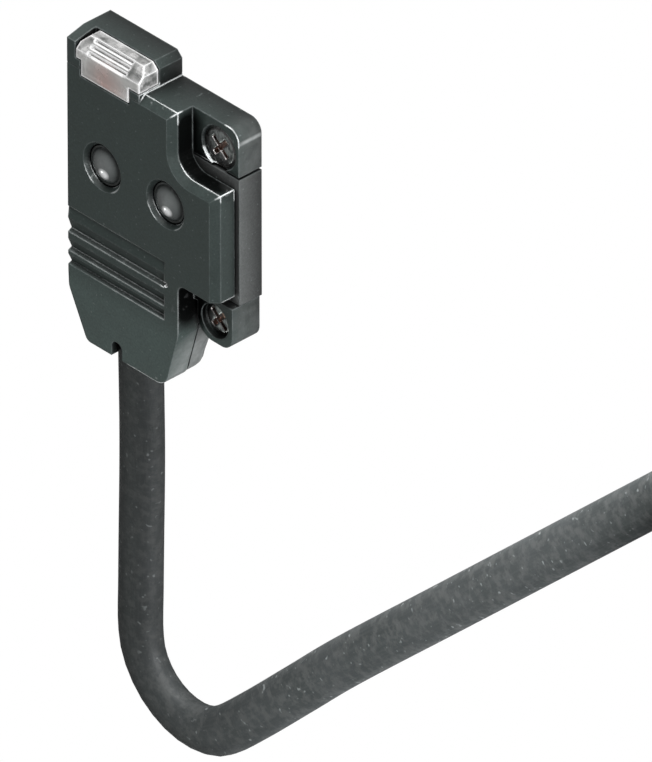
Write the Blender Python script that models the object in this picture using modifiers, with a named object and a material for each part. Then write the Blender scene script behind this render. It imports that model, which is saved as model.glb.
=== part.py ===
"""Slim diffuse photoelectric sensor with its flat lead, lying on its mounting face.

Metres, +Z up. The mounting face is at Z = 0 and the sensing face looks along +Z.
+Y points to the indicator end, and the lead leaves along -Y.
"""
from math import atan2, cos, pi, radians, sin, sqrt

import bmesh
import bpy
from mathutils import Matrix, Vector

# Housing
BODY_WIDTH = 0.0130
BODY_DEPTH = 0.0035
FRONT_DEPTH = 0.0016
TOWER_RISE = 0.00162
TOWER_WIDTH = 0.0062
TOWER_CHAMFER = 0.00042
TOWER_FALL = 0.00034
BOOT_DROP = 0.0194
BOOT_TOP_DROP = 0.0151
BOOT_TAPER = 0.0011
BOOT_LEFT_TAPER = 0.0016
BOOT_CORNER = 0.0005
BOOT_BACK_ROUND = 0.00105
BOOT_BACK_CORNER = 0.00120
NOTCH_WIDTH = 0.0009
NOTCH_HEIGHT = 0.0011
WALL = 0.0004
FACE_WALL = 0.0006
COVER_FLOOR = 0.00045
EDGE_CHAMFER = 0.00048
SIDE_STEP = 0.0003
SEAM = 0.0001
FIT = 0.0001

# Mounting ears and their screws
HOLE_PITCH = 0.01205
HOLE_EDGE = 0.0017
UPPER_HOLE_DROP = 0.00187
HOLE_RADIUS = 0.00085
UPPER_EAR_THICKNESS = 0.00185
LOWER_EAR_THICKNESS = 0.0022
UPPER_EAR_LENGTH = 0.0032
LOWER_EAR_LENGTH = 0.0030
EAR_MARGIN = 0.0015
UPPER_EAR_CORNER = 0.00085
LOWER_EAR_CORNER = 0.0009
LOWER_EAR_ROUND = 0.0013
UPPER_RECESS_WIDTH = 0.00395
LOWER_RECESS_WIDTH = 0.0035
UPPER_RECESS_MARGIN = 0.0009
LOWER_RECESS_MARGIN = 0.0008
RECESS_CORNER = 0.0014
LOWER_RECESS_CORNER = 0.0006
UPPER_HEAD_RADIUS = 0.00135
UPPER_HEAD_SUNK = 0.00012
LOWER_HEAD_RADIUS = 0.00105
LOWER_HEAD_SUNK = 0.00035
SCREW_HEAD_HEIGHT = 0.0006
SCREW_SHANK_RADIUS = 0.00075
SCREW_TIP_HEIGHT = 0.0002
CROSS_LENGTH = 0.0016
CROSS_WIDTH = 0.00032
CROSS_DEPTH = 0.0004

# Optics
LENS_PITCH = 0.00546
LENS_EDGE = 0.00298
LENS_DROP = 0.0065
LENS_BORE_RADIUS = 0.0014
LENS_RIM_RADIUS = 0.00162
LENS_RIM_DEPTH = 0.00028
LENS_DOME_RADIUS = 0.00118
LENS_DOME_RISE = 0.0005
LENS_SUNK = 0.00032
LENS_FLANGE_RADIUS = 0.0017
LENS_FLANGE_THICKNESS = 0.0004

# Indicator window
WINDOW_MARGIN = 0.0008
WINDOW_DEPTH = 0.00155
WINDOW_STEP_DROP = -0.0002
WINDOW_LIP_DROP = 0.00085
WINDOW_LIP_MARGIN = 0.00122
WINDOW_LIP_END = 0.00093
WINDOW_LIP_DEPTH = 0.0007
WINDOW_SLOPE = 0.00078
WINDOW_SLOT_WIDTH = 0.00018
WINDOW_SLOT_PITCH = 0.00042
WINDOW_SLOT_DEPTH = 0.00022

# Grip grooves across the sensing face, as drops and lengths from the housing's top
GROOVE_DROPS = (0.01140, 0.01288, 0.01396)
GROOVE_LENGTHS = (0.00100, 0.00084, 0.00074)
GROOVE_DEPTH = 0.00028
GROOVE_WALL = 0.16
GROOVE_RIGHT = 0.0018
RAMP_DROP = 0.01058
RAMP_LENGTH = 0.00076
RAMP_DEPTH = 0.00008
PIT_DROP = 0.0121
PIT_RADIUS = 0.00020
PIT_DEPTH = 0.00020

# Lead
CORD_WIDTH = 0.0031
CORD_THICKNESS = 0.00206
CORD_EXIT_X = -0.00193
CORD_INSIDE = 0.0040
CORE_RADIUS = 0.00042
CORE_PITCH = 0.00090
COIL_X = 0.0750
COIL_Y = 0.00036
COIL_MEAN_RADIUS = 0.0162
COIL_COLUMNS = 5
COIL_LAYERS = 4
TURN_GAP = 0.0001
TIE_WIDTH = 0.0030
TIE_THICKNESS = 0.0005
TIE_ANGLE = radians(62)
CORE_TAIL_LENGTH = 0.0120
CORE_TAIL_SPREAD = 0.0028
CONDUCTOR_LENGTH = 0.0045
CONDUCTOR_RADIUS = 0.00022

# Electronics, with the board's height taken from the sensing face
BOARD_DROP = 0.00205
BOARD_THICKNESS = 0.0004
CHIP_GAP = 0.0001

MERGE = 0.000001
ARC_STEPS = 9
ROUND_STEPS = 36
OVERRUN = 0.0005

# Sizes that follow from the ones above
RIGHT = BODY_WIDTH / 2
LEFT = -RIGHT
TOP = (BOOT_DROP - TOWER_RISE) / 2
PARTING_HEIGHT = BODY_DEPTH - FRONT_DEPTH
TOWER_TOP = TOP + TOWER_RISE
TOWER_RIGHT = LEFT + TOWER_WIDTH
BOOT_END = TOP - BOOT_DROP
BOOT_TOP = TOP - BOOT_TOP_DROP
HOLE_X = RIGHT - HOLE_EDGE
UPPER_HOLE_Y = TOP - UPPER_HOLE_DROP
LOWER_HOLE_Y = UPPER_HOLE_Y - HOLE_PITCH
EAR_END = LOWER_HOLE_Y - EAR_MARGIN
UPPER_EAR_END = TOP - UPPER_EAR_LENGTH
LOWER_EAR_START = EAR_END + LOWER_EAR_LENGTH
UPPER_RECESS_LEFT = RIGHT - UPPER_RECESS_WIDTH
LOWER_RECESS_LEFT = RIGHT - LOWER_RECESS_WIDTH
UPPER_RECESS_END = UPPER_EAR_END - UPPER_RECESS_MARGIN
LOWER_RECESS_START = LOWER_EAR_START + LOWER_RECESS_MARGIN
INNER_LEFT = LEFT + WALL
INNER_RIGHT = UPPER_RECESS_LEFT - WALL
WINDOW_LEFT = LEFT + WINDOW_MARGIN
WINDOW_LIP_LEFT = LEFT + WINDOW_LIP_MARGIN
WINDOW_LIP_RIGHT = TOWER_RIGHT - WINDOW_LIP_END
WINDOW_BACK_HEIGHT = BODY_DEPTH - WINDOW_DEPTH
WINDOW_LIP_HEIGHT = BODY_DEPTH - WINDOW_LIP_DEPTH
CORD_AXIS_HEIGHT = PARTING_HEIGHT
CAVITY_TOP = BODY_DEPTH - FACE_WALL
GROOVE_CAVITY_TOP = CAVITY_TOP - GROOVE_DEPTH
BOARD_TOP = BODY_DEPTH - BOARD_DROP
BOARD_BOTTOM = BOARD_TOP - BOARD_THICKNESS
BOARD_LEFT = INNER_LEFT + FIT
BOARD_RIGHT = INNER_RIGHT - FIT
BOARD_LOW = BOOT_TOP + WALL + FIT
BOARD_HIGH = TOP - WALL - FIT
BOARD_SIDE_LOW = LOWER_RECESS_START + WALL + FIT
BOARD_SIDE_HIGH = UPPER_RECESS_END - WALL - FIT
BOARD_SIDE_RIGHT = RIGHT - SIDE_STEP - WALL - 3 * FIT


def clear_scene():
    for obj in list(bpy.data.objects):
        bpy.data.objects.remove(obj, do_unlink=True)


def collection(name):
    made = bpy.data.collections.new(name)
    bpy.context.scene.collection.children.link(made)
    return made


def material(name, colour, roughness, metallic=0.0):
    made = bpy.data.materials.new(name)
    made.use_nodes = True
    made.diffuse_color = (*colour, 1.0)
    shader = made.node_tree.nodes["Principled BSDF"]
    shader.inputs["Base Color"].default_value = (*colour, 1.0)
    shader.inputs["Roughness"].default_value = roughness
    shader.inputs["Metallic"].default_value = metallic
    return made


clear_scene()
PARTS = collection("photoelectric_sensor")
CUTTERS = collection("cutters")


def finish(obj, finish_material):
    """Put a finished piece in the parts collection with its material."""
    PARTS.objects.link(obj)
    obj.data.materials.clear()
    obj.data.materials.append(finish_material)
    return obj


def as_cutter(obj):
    CUTTERS.objects.link(obj)
    obj.hide_render = True
    obj.display_type = "WIRE"
    return obj


def boolean(target, tool, operation):
    step = target.modifiers.new(operation.lower(), "BOOLEAN")
    step.operation = operation
    step.solver = "EXACT"
    step.object = as_cutter(tool)


def cut(target, *tools):
    for tool in tools:
        boolean(target, tool, "DIFFERENCE")


def join(target, *tools):
    for tool in tools:
        boolean(target, tool, "UNION")


def rounded(corners):
    """Outline points from (x, y) or (x, y, radius) corners, with an arc at each radius."""
    points = []
    for i, corner in enumerate(corners):
        here = Vector(corner[:2])
        radius = corner[2] if len(corner) > 2 else 0.0
        if radius == 0.0:
            points.append((here.x, here.y))
            continue
        before = (Vector(corners[i - 1][:2]) - here).normalized()
        after = (Vector(corners[(i + 1) % len(corners)][:2]) - here).normalized()
        half = before.angle(after) / 2
        centre = here + (before + after).normalized() * (radius / sin(half))
        start = here + before * (radius * cos(half) / sin(half)) - centre
        turn = start.angle_signed(here + after * (radius * cos(half) / sin(half)) - centre)
        for k in range(ARC_STEPS + 1):
            angle = atan2(start.y, start.x) - turn * k / ARC_STEPS
            points.append((centre.x + radius * cos(angle), centre.y + radius * sin(angle)))
    return points


def meshed(curve_object):
    """A welded mesh object in place of a curve object."""
    graph = bpy.context.evaluated_depsgraph_get()
    mesh = bpy.data.meshes.new_from_object(curve_object.evaluated_get(graph))
    made = bpy.data.objects.new(curve_object.name + "_mesh", mesh)
    made.matrix_world = curve_object.matrix_world.copy()
    bm = bmesh.new()
    bm.from_mesh(mesh)
    bmesh.ops.remove_doubles(bm, verts=bm.verts, dist=MERGE)
    bmesh.ops.dissolve_limit(bm, angle_limit=radians(0.5), verts=bm.verts, edges=bm.edges)
    bmesh.ops.recalc_face_normals(bm, faces=bm.faces)
    bm.to_mesh(mesh)
    bm.free()
    mesh.shade_flat()
    name = curve_object.name
    bpy.data.objects.remove(curve_object, do_unlink=True)
    made.name = name
    return made


def flat_curve(name, outline, thickness):
    curve = bpy.data.curves.new(name, "CURVE")
    curve.dimensions = "2D"
    curve.fill_mode = "BOTH"
    curve.extrude = thickness / 2
    spline = curve.splines.new("POLY")
    spline.points.add(len(outline) - 1)
    for point, (x, y) in zip(spline.points, outline):
        point.co = (x, y, 0.0, 1.0)
    spline.use_cyclic_u = True
    made = bpy.data.objects.new(name, curve)
    bpy.context.scene.collection.objects.link(made)
    return made


def plate(name, outline, low, high):
    """A flat outline in X and Y between two heights."""
    made = flat_curve(name, outline, high - low)
    made.location.z = (low + high) / 2
    bpy.context.view_layer.update()
    return meshed(made)


def side_plate(name, outline, left, right):
    """A flat outline in Y and Z between two places along X."""
    made = flat_curve(name, outline, right - left)
    made.rotation_euler = (pi / 2, 0.0, pi / 2)
    made.location.x = (left + right) / 2
    bpy.context.view_layer.update()
    return meshed(made)


def box(name, low, high):
    mesh = bpy.data.meshes.new(name)
    bm = bmesh.new()
    bmesh.ops.create_cube(bm, size=1.0)
    size = Vector(high) - Vector(low)
    bmesh.ops.scale(bm, vec=size, verts=bm.verts)
    bmesh.ops.translate(bm, vec=(Vector(low) + Vector(high)) / 2, verts=bm.verts)
    bm.to_mesh(mesh)
    bm.free()
    return bpy.data.objects.new(name, mesh)


def disc(name, x, y, radius, low, high, top_radius=None):
    """A cylinder, or a cone where top_radius differs, upright between two heights."""
    mesh = bpy.data.meshes.new(name)
    bm = bmesh.new()
    end_radius = radius if top_radius is None else top_radius
    bmesh.ops.create_cone(
        bm, cap_ends=True, segments=ROUND_STEPS, radius1=radius, radius2=end_radius, depth=high - low
    )
    bmesh.ops.translate(bm, vec=(x, y, (low + high) / 2), verts=bm.verts)
    bm.to_mesh(mesh)
    bm.free()
    return bpy.data.objects.new(name, mesh)


def turned(name, profile, x, y, steps=ROUND_STEPS, closed=False, smooth_sides=False):
    """A profile of (radius, height) turned about an upright axis, listed from top to bottom."""
    mesh = bpy.data.meshes.new(name)
    bm = bmesh.new()
    verts = [bm.verts.new((radius, 0.0, height)) for radius, height in profile]
    for first, second in zip(verts, verts[1:]):
        bm.edges.new((first, second))
    if closed:
        bm.edges.new((verts[-1], verts[0]))
    bm.to_mesh(mesh)
    bm.free()
    made = bpy.data.objects.new(name, mesh)
    made.location = (x, y, 0.0)
    screw = made.modifiers.new("turn", "SCREW")
    screw.steps = steps
    screw.render_steps = steps
    screw.use_merge_vertices = True
    screw.use_smooth_shade = smooth_sides
    screw.merge_threshold = MERGE
    return made


def soften(obj, width, chosen, segments=1):
    """Bevel the edges that chosen(first, second) picks."""
    mesh = obj.data
    weights = mesh.attributes.new("bevel_weight_edge", "FLOAT", "EDGE")
    for edge in mesh.edges:
        first, second = (obj.matrix_world @ mesh.vertices[i].co for i in edge.vertices)
        weights.data[edge.index].value = 1.0 if chosen(first, second) else 0.0
    bevel = obj.modifiers.new("edge", "BEVEL")
    bevel.limit_method = "WEIGHT"
    bevel.width = width
    bevel.segments = segments
    bevel.use_clamp_overlap = False
    return obj


def near(value, target):
    return abs(value - target) < 10 * MERGE


# Housing

def boot_right_side(corner):
    return [
        (LOWER_RECESS_LEFT, BOOT_TOP + WALL / 2),
        (LOWER_RECESS_LEFT - WALL / 10, BOOT_TOP - WALL),
        (LOWER_RECESS_LEFT - 0.73 * BOOT_TAPER, BOOT_END + 0.0012, BOOT_BACK_CORNER),
        (LOWER_RECESS_LEFT - BOOT_TAPER, BOOT_END, corner),
    ]


def boot_left_side(corner):
    return [
        (LEFT + BOOT_LEFT_TAPER, BOOT_END, corner),
        (LEFT + WALL / 8, BOOT_TOP - BOOT_TAPER, BOOT_BACK_CORNER),
    ]


def front_outline():
    """The sensing side's outline, from the top left corner round by the recesses and the boot."""
    side = RIGHT - SIDE_STEP
    return rounded(
        [
            (LEFT, TOP),
            (UPPER_RECESS_LEFT, TOP),
            (UPPER_RECESS_LEFT, UPPER_RECESS_END, RECESS_CORNER),
            (side, UPPER_RECESS_END),
            (side, LOWER_RECESS_START),
            (LOWER_RECESS_LEFT, LOWER_RECESS_START, LOWER_RECESS_CORNER),
            *boot_right_side(2 * BOOT_CORNER),
            *boot_left_side(BOOT_CORNER),
            (LEFT, BOOT_TOP),
        ]
    )


def on_front_rim(first, second):
    """The face's edges that carry the wide chamfer: along the top, round the recess, down the side."""
    for end in (first, second):
        if not near(end.z, BODY_DEPTH) or end.y < LOWER_RECESS_START - MERGE:
            return False
    along_lower_recess = near(first.y, LOWER_RECESS_START) and near(second.y, LOWER_RECESS_START)
    along_left = near(first.x, LEFT) and near(second.x, LEFT)
    return not along_lower_recess and not along_left


def upper_ear():
    root = UPPER_RECESS_LEFT - WALL
    outline = rounded(
        [
            (root, TOP),
            (RIGHT, TOP, UPPER_EAR_CORNER),
            (RIGHT, UPPER_EAR_END),
            (root, UPPER_EAR_END),
        ]
    )
    return plate("upper_ear", outline, 0.0, UPPER_EAR_THICKNESS)


def lower_ear():
    root = LOWER_RECESS_LEFT - WALL
    left = HOLE_X - EAR_MARGIN
    right = HOLE_X + EAR_MARGIN
    web = LOWER_HOLE_Y + EAR_MARGIN / 2
    outline = rounded(
        [
            (root, LOWER_EAR_START),
            (right, LOWER_EAR_START),
            (right, EAR_END, LOWER_EAR_CORNER),
            (left, EAR_END, LOWER_EAR_ROUND),
            (left, web),
            (root, web),
        ]
    )
    return plate("lower_ear", outline, 0.0, LOWER_EAR_THICKNESS)


def tower():
    base = TOP - WALL
    outline = [
        (LEFT, base),
        (TOWER_RIGHT, base),
        (TOWER_RIGHT, TOWER_TOP - TOWER_CHAMFER),
        (TOWER_RIGHT - TOWER_CHAMFER, TOWER_TOP),
        (LEFT, TOWER_TOP),
    ]
    return plate("tower", outline, 0.0, BODY_DEPTH)


def tower_slope():
    """The tower's top falls toward the sensing face beside the window."""
    low = PARTING_HEIGHT + 2 * SEAM
    profile = [
        (TOWER_TOP + OVERRUN, low),
        (TOWER_TOP, low + SEAM / 2),
        (TOWER_TOP - TOWER_FALL, BODY_DEPTH),
        (TOWER_TOP - 1.2 * TOWER_FALL, BODY_DEPTH + OVERRUN),
        (TOWER_TOP + OVERRUN, BODY_DEPTH + OVERRUN),
    ]
    return side_plate("tower_slope", profile, LEFT - OVERRUN, WINDOW_LEFT + OVERRUN)


def back_walls():
    """The side, top and inner walls behind the parting height, before the cavity is cut."""
    middle = (UPPER_RECESS_END + LOWER_RECESS_START) / 2
    outline = [
        (LEFT, BOOT_TOP),
        (LOWER_RECESS_LEFT, BOOT_TOP),
        (LOWER_RECESS_LEFT, middle),
        (UPPER_RECESS_LEFT, middle),
        (UPPER_RECESS_LEFT, TOP),
        (LEFT, TOP),
    ]
    return plate("back_walls", outline, 0.0, PARTING_HEIGHT + WALL / 2)


def cavity_cutters():
    inner_top = TOP - WALL
    groove_start = TOP - RAMP_DROP + WALL
    side_inside = RIGHT - SIDE_STEP - WALL
    return [
        box("cavity_back", (INNER_LEFT, BOOT_TOP - OVERRUN, -OVERRUN), (INNER_RIGHT, inner_top, PARTING_HEIGHT)),
        box(
            "cavity_front",
            (INNER_LEFT, groove_start, PARTING_HEIGHT - MERGE * 50),
            (INNER_RIGHT, inner_top, CAVITY_TOP),
        ),
        box(
            "cavity_low",
            (INNER_LEFT, BOOT_TOP + WALL, PARTING_HEIGHT - MERGE * 60),
            (INNER_RIGHT, groove_start + MERGE * 50, GROOVE_CAVITY_TOP),
        ),
        box(
            "cavity_side",
            (INNER_RIGHT - MERGE * 50, LOWER_RECESS_START + WALL, PARTING_HEIGHT - MERGE * 70),
            (side_inside, UPPER_RECESS_END - WALL, CAVITY_TOP - MERGE * 30),
        ),
        box(
            "cavity_side_back",
            (INNER_RIGHT - MERGE * 40, LOWER_EAR_START + SEAM, -OVERRUN),
            (RIGHT + OVERRUN, UPPER_EAR_END - SEAM / 2, PARTING_HEIGHT + MERGE * 20),
        ),
    ]


def groove_cutters():
    """A shallow ramp and three saw-tooth grooves that run in from the left edge, and a small pit."""
    past = BODY_DEPTH + OVERRUN
    made = []
    for i, (drop, length) in enumerate(zip(GROOVE_DROPS, GROOVE_LENGTHS)):
        top = TOP - drop
        profile = [
            (top + 0.02 * length, past),
            (top, BODY_DEPTH),
            (top - (1 - GROOVE_WALL) * length, BODY_DEPTH - GROOVE_DEPTH),
            (top - length, BODY_DEPTH),
            (top - 1.03 * length, past),
        ]
        made.append(side_plate(f"groove_{i + 1}", profile, LEFT - OVERRUN, GROOVE_RIGHT))
    ramp = TOP - RAMP_DROP
    profile = [
        (ramp + 0.02 * RAMP_LENGTH, past),
        (ramp, BODY_DEPTH),
        (ramp - 0.05 * RAMP_LENGTH, BODY_DEPTH - RAMP_DEPTH),
        (ramp - RAMP_LENGTH, BODY_DEPTH),
        (ramp - 1.02 * RAMP_LENGTH, past),
    ]
    made.append(side_plate("ramp", profile, LEFT - OVERRUN, GROOVE_RIGHT + MERGE * 50))
    made.append(disc("pit", GROOVE_RIGHT + SEAM, TOP - PIT_DROP, PIT_RADIUS, BODY_DEPTH - PIT_DEPTH, past))
    return made


def lens_places():
    emitter = LEFT + LENS_EDGE
    return [(emitter, TOP - LENS_DROP), (emitter + LENS_PITCH, TOP - LENS_DROP)]


def lens_cutters():
    made = []
    for i, (x, y) in enumerate(lens_places()):
        rim_low = BODY_DEPTH - LENS_RIM_DEPTH
        reach = (LENS_RIM_RADIUS - LENS_BORE_RADIUS) / LENS_RIM_DEPTH * OVERRUN
        made.append(disc(f"lens_bore_{i + 1}", x, y, LENS_BORE_RADIUS, CAVITY_TOP - OVERRUN, BODY_DEPTH + OVERRUN))
        made.append(
            disc(
                f"lens_rim_{i + 1}", x, y, LENS_BORE_RADIUS, rim_low, BODY_DEPTH + OVERRUN,
                top_radius=LENS_RIM_RADIUS + reach,
            )
        )
    return made


def screw_hole(name, y, face, head_radius):
    """A countersunk hole with a straight mouth, its head seat below the given height."""
    mouth = head_radius + FIT
    profile = [
        (0.0, face + BODY_DEPTH),
        (mouth, face + BODY_DEPTH),
        (mouth, face),
        (HOLE_RADIUS, face - SCREW_HEAD_HEIGHT),
        (HOLE_RADIUS, -OVERRUN),
        (0.0, -OVERRUN),
    ]
    return turned(name, profile, HOLE_X, y)


def cord_channel(name):
    """A flat oval channel for the lead from the boot's end into the cavity."""
    radius = CORD_WIDTH / 2 + FIT
    length = BOOT_DROP - BOOT_TOP_DROP + WALL + 2 * OVERRUN
    made = disc(name, 0.0, 0.0, radius, -length / 2, length / 2)
    flat = Matrix.Diagonal((1.0, (CORD_THICKNESS / 2 + FIT) / radius, 1.0, 1.0))
    middle = (CORD_EXIT_X, BOOT_END - OVERRUN + length / 2, CORD_AXIS_HEIGHT)
    made.data.transform(Matrix.Translation(middle) @ Matrix.Rotation(pi / 2, 4, "X") @ flat)
    return made


def boot_notch():
    """A small round-topped notch over the lead at the boot's end."""
    half = NOTCH_WIDTH / 2
    x = CORD_EXIT_X - WALL
    top = BOOT_END + NOTCH_HEIGHT
    outline = rounded(
        [
            (x - half, BOOT_END - OVERRUN),
            (x + half, BOOT_END - OVERRUN),
            (x + half, top, 0.98 * half),
            (x - half, top, 0.98 * half),
        ]
    )
    return plate("boot_notch", outline, CORD_AXIS_HEIGHT + CORD_THICKNESS / 4, BODY_DEPTH + OVERRUN)


def front_case(finish_material):
    made = plate("front_case", front_outline(), PARTING_HEIGHT, BODY_DEPTH)
    soften(made, EDGE_CHAMFER, on_front_rim)
    join(made, back_walls(), upper_ear(), lower_ear(), tower())
    cut(made, *cavity_cutters(), *lens_cutters(), *groove_cutters())
    cut(
        made,
        screw_hole("upper_hole", UPPER_HOLE_Y, UPPER_EAR_THICKNESS - UPPER_HEAD_SUNK, UPPER_HEAD_RADIUS),
        screw_hole("lower_hole", LOWER_HOLE_Y, LOWER_EAR_THICKNESS - LOWER_HEAD_SUNK, LOWER_HEAD_RADIUS),
    )
    cut(made, window_solid("window_seat", FIT), tower_slope(), cord_channel("front_channel"), boot_notch())
    return finish(made, finish_material)


def on_boot_back(first, second):
    """The boot's back edges, outside the housing."""
    return all(near(end.z, 0.0) and end.y < BOOT_TOP - 2 * SEAM for end in (first, second))


def rear_cover(finish_material):
    """The flat back with the boot's rear half, and walls that close its side between the ears."""
    inner_left = INNER_LEFT + SEAM
    inner_right = INNER_RIGHT - SEAM
    boot_start = BOOT_TOP - SEAM
    high = PARTING_HEIGHT - SEAM
    boot_outline = rounded(
        [
            (inner_left, boot_start + WALL),
            (inner_right, boot_start + WALL),
            (inner_right, boot_start),
            (LOWER_RECESS_LEFT - WALL / 20, boot_start),
            *boot_right_side(BOOT_BACK_CORNER)[1:],
            *boot_left_side(BOOT_BACK_CORNER),
            (LEFT + WALL / 8, boot_start),
            (inner_left, boot_start),
        ]
    )
    made = plate("rear_cover", boot_outline, 0.0, high)
    soften(made, BOOT_BACK_ROUND, on_boot_back, segments=5)
    main = plate(
        "cover_floor",
        [
            (inner_left, boot_start + WALL / 2),
            (inner_right, boot_start + WALL / 2),
            (inner_right, TOP - WALL - SEAM),
            (inner_left, TOP - WALL - SEAM),
        ],
        0.0,
        COVER_FLOOR,
    )
    side_low = LOWER_EAR_START + 2 * SEAM
    side_high = UPPER_EAR_END - 2 * SEAM
    root = INNER_RIGHT + SEAM
    wall = RIGHT - SIDE_STEP - WALL
    side_walls = plate(
        "cover_side_walls",
        [
            (root, side_low),
            (RIGHT, side_low),
            (RIGHT, side_high),
            (root, side_high),
            (root, BOARD_SIDE_HIGH + FIT),
            (wall, BOARD_SIDE_HIGH + FIT),
            (wall, BOARD_SIDE_LOW - FIT),
            (root, BOARD_SIDE_LOW - FIT),
        ],
        0.0,
        high,
    )
    side_floor = box(
        "cover_side_floor", (inner_right - WALL, side_low + SEAM, 0.0), (RIGHT - WALL, side_high - SEAM, COVER_FLOOR)
    )
    join(made, main, side_walls, side_floor, *board_posts())
    cut(made, cord_channel("rear_channel"))
    return finish(made, finish_material)


def board_posts():
    """Four posts on the cover's floor that the board stands on."""
    half = WALL
    edge = 2 * half + SEAM
    left = BOARD_LEFT + edge
    right = BOARD_RIGHT - edge
    high = BOARD_HIGH - edge
    low = BOARD_LOW + edge
    made = []
    for i, (x, y) in enumerate(((left, low), (left, high), (right, low), (right, high))):
        made.append(
            box(f"post_{i + 1}", (x - half, y - half, COVER_FLOOR / 2), (x + half, y + half, BOARD_BOTTOM - FIT))
        )
    return made


# Indicator window

def window_solid(name, grow):
    """The clear window, or its seat where grow is the clearance."""
    past = OVERRUN if grow else 0.0
    step = TOP - WINDOW_STEP_DROP
    plan = plate(
        name,
        [
            (WINDOW_LIP_LEFT - grow, TOP - WINDOW_LIP_DROP - grow),
            (WINDOW_LIP_RIGHT + grow, TOP - WINDOW_LIP_DROP - grow),
            (WINDOW_LIP_RIGHT + grow, step - grow),
            (TOWER_RIGHT + past, step - grow),
            (TOWER_RIGHT + past, TOWER_TOP - TOWER_CHAMFER + past),
            (TOWER_RIGHT - TOWER_CHAMFER + past, TOWER_TOP + past),
            (WINDOW_LEFT + TOWER_CHAMFER - grow - past / 2, TOWER_TOP + past),
            (WINDOW_LEFT - grow, TOWER_TOP - TOWER_CHAMFER),
            (WINDOW_LEFT - grow, step - grow + MERGE * 50),
            (WINDOW_LIP_LEFT - grow, step - grow + MERGE * 50),
        ],
        WINDOW_BACK_HEIGHT - grow,
        BODY_DEPTH + past,
    )
    lip_back = step - grow + MERGE * 30
    lip_front = TOP - WINDOW_LIP_DROP - grow - MERGE * 20
    back = WINDOW_BACK_HEIGHT - grow - MERGE * 20
    beyond = 2 * past + OVERRUN / 2
    profile = [
        (lip_front, WINDOW_LIP_HEIGHT - grow),
        (lip_back, WINDOW_LIP_HEIGHT - grow),
        (lip_back, back),
        (TOWER_TOP + beyond, back),
        (TOWER_TOP + beyond, BODY_DEPTH - WINDOW_SLOPE - beyond + 4 * past),
        (TOWER_TOP - WINDOW_SLOPE - beyond + 4 * past, BODY_DEPTH + beyond),
        (lip_front, BODY_DEPTH + beyond),
    ]
    side = side_plate(name + "_side", profile, LEFT, TOWER_RIGHT + 2 * OVERRUN)
    boolean(plan, side, "INTERSECT")
    return plan


def indicator_window(finish_material):
    made = window_solid("indicator_window", 0.0)
    slots = []
    for i in range(3):
        y = TOWER_TOP - WINDOW_SLOPE / 2 + (i - 1) * WINDOW_SLOT_PITCH * 0.7
        z = BODY_DEPTH - WINDOW_SLOPE / 2 - (i - 1) * WINDOW_SLOT_PITCH * 0.7
        slot = box(
            f"window_slot_{i + 1}",
            (WINDOW_LEFT + 0.0009, -WINDOW_SLOT_WIDTH / 2, -WINDOW_SLOT_DEPTH),
            (TOWER_RIGHT - 0.0012, WINDOW_SLOT_WIDTH / 2, OVERRUN),
        )
        slot.rotation_euler.x = -pi / 4
        slot.location = (0.0, y, z)
        slots.append(slot)
    cut(made, *slots)
    return finish(made, finish_material)


# Optics

def lens(name, x, y, finish_material):
    """A clear dome on a stem with a flange behind the face."""
    stem = LENS_BORE_RADIUS - FIT
    dome_base = BODY_DEPTH - LENS_SUNK
    flange_top = CAVITY_TOP - FIT
    flange_bottom = flange_top - LENS_FLANGE_THICKNESS
    sphere = (LENS_DOME_RADIUS**2 + LENS_DOME_RISE**2) / (2 * LENS_DOME_RISE)
    profile = []
    for k in range(9):
        radius = LENS_DOME_RADIUS * k / 8
        profile.append((radius, dome_base + LENS_DOME_RISE - sphere + sqrt(sphere**2 - radius**2)))
    profile += [
        (stem, dome_base),
        (stem, flange_top),
        (LENS_FLANGE_RADIUS, flange_top),
        (LENS_FLANGE_RADIUS, flange_bottom),
        (0.0, flange_bottom),
    ]
    made = turned(name, profile, x, y, smooth_sides=True)
    return finish(made, finish_material)


# Screws

def screw(name, y, face, head_radius, finish_material):
    """A countersunk cross-recess screw, its head at the given height and its tip above the mounting face."""
    neck = face - SCREW_HEAD_HEIGHT - FIT
    tip = SCREW_TIP_HEIGHT
    profile = [
        (0.0, face),
        (head_radius - 2 * FIT, face),
        (head_radius, face - FIT),
        (SCREW_SHANK_RADIUS, neck),
        (SCREW_SHANK_RADIUS, tip + 1.5 * FIT),
        (SCREW_SHANK_RADIUS - 1.5 * FIT, tip),
        (0.0, tip),
    ]
    made = turned(name, profile, HOLE_X, y)
    recesses = []
    for i in range(2):
        bar = box(
            f"{name}_cross_{i + 1}",
            (-CROSS_LENGTH / 2, -CROSS_WIDTH / 2, face - CROSS_DEPTH),
            (CROSS_LENGTH / 2, CROSS_WIDTH / 2, face + OVERRUN),
        )
        bar.location = (HOLE_X, y, 0.0)
        bar.rotation_euler.z = radians(48 + 90 * i)
        recesses.append(bar)
    cut(made, *recesses)
    return finish(made, finish_material)


# Electronics

def board_outline():
    return [
        (BOARD_LEFT, BOARD_LOW),
        (BOARD_RIGHT, BOARD_LOW),
        (BOARD_RIGHT, BOARD_SIDE_LOW),
        (BOARD_SIDE_RIGHT, BOARD_SIDE_LOW),
        (BOARD_SIDE_RIGHT, BOARD_SIDE_HIGH),
        (BOARD_RIGHT, BOARD_SIDE_HIGH),
        (BOARD_RIGHT, BOARD_HIGH),
        (BOARD_LEFT, BOARD_HIGH),
    ]


def chip(name, x, y, width, length, height, finish_material):
    """A small square part on the board's sensing side."""
    low = BOARD_TOP + CHIP_GAP
    made = box(name, (x - width / 2, y - length / 2, low), (x + width / 2, y + length / 2, low + height))
    return finish(made, finish_material)


def core(name, points, radius, finish_material):
    """A round wire along the given points."""
    made = tube(name, points, radius, 1.0)
    return finish(made, finish_material)


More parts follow.
